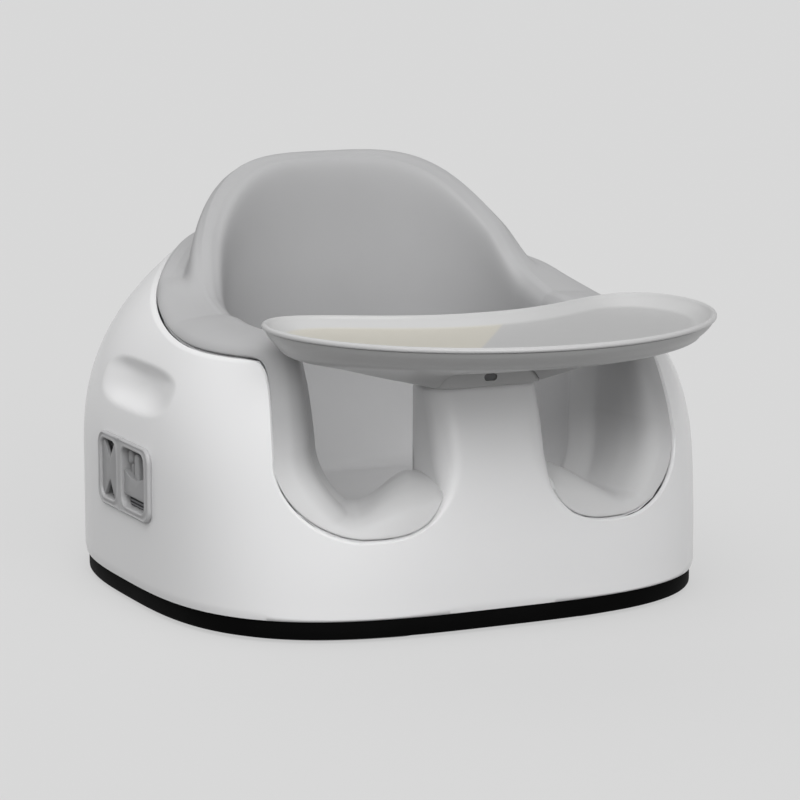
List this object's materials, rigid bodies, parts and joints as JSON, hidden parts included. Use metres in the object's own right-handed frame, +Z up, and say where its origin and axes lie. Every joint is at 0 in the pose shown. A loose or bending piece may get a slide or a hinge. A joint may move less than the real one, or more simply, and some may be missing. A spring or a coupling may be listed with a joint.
{
  "type": "baby floor seat",
  "caption": "Low moulded floor seat for a baby, with a grey foam insert, leg openings either side of a front post, and a lift-off crescent play tray.",
  "frame": {"origin": "on the floor under the middle of the whole, tray included, level with the foot pads", "axes": "+Z up, +Y towards the backrest, +X to the right of someone who faces the seat"},
  "size_m": [0.3874, 0.4602, 0.274],
  "materials": {
    "shell_white": "satin-gloss moulded polypropylene",
    "pan_white": "matt moulded polypropylene",
    "grip_black": "black thermoplastic rubber",
    "pad_grey": "grey non-slip rubber",
    "screw_steel": "zinc plated steel",
    "bezel_grey": "satin grey moulded plastic",
    "webbing_dark": "woven polyester webbing",
    "buckle_grey": "grey acetal",
    "foam_grey": "skinned polyurethane foam, smooth matt skin",
    "tray_grey": "satin moulded polypropylene",
    "button_grey": "satin grey moulded plastic"
  },
  "bodies": {
    "base": {"outer_shell": "shell_white", "seat_pan": "pan_white", "base_plate": "pan_white", "grip_ring": "grip_black", "foot_pad_front_left": "pad_grey", "foot_pad_front_right": "pad_grey", "foot_pad_rear_left": "pad_grey", "foot_pad_rear_right": "pad_grey", "base_screws": "screw_steel", "window_bezel_left": "bezel_grey", "window_bezel_right": "bezel_grey", "strap_pocket_left": "bezel_grey", "strap_pocket_right": "bezel_grey", "chair_strap_left": "webbing_dark", "chair_strap_right": "webbing_dark", "buckle_socket_left": "buckle_grey", "buckle_socket_right": "buckle_grey", "buckle_plug_left": "buckle_grey", "buckle_plug_right": "buckle_grey"},
    "insert": {"foam_insert": "foam_grey"},
    "tray": {"tray_dish": "tray_grey", "tray_funnel": "tray_grey", "tray_bracket": "tray_grey", "tray_screws": "screw_steel", "latch_spring": "screw_steel"},
    "button": {"release_button": "button_grey", "button_catch": "button_grey"}
  },
  "joints": [
    {"name": "tray_lift", "type": "slide", "parent": "base", "child": "tray", "axis": [0, 0, 1], "range_m": [0, 0.3]},
    {"name": "insert_lift", "type": "slide", "parent": "base", "child": "insert", "axis": [0, 0, 1], "range_m": [0, 0.2]},
    {"name": "button_press", "type": "slide", "parent": "tray", "child": "button", "axis": [0, 1, 0], "range_m": [0, 0.003], "stiffness_N_per_m": 400, "deforming": ["latch_spring"]}
  ],
  "couplings": [
    {"joint": "insert_lift", "follows": "tray_lift", "ratio": 0.66667}
  ]
}
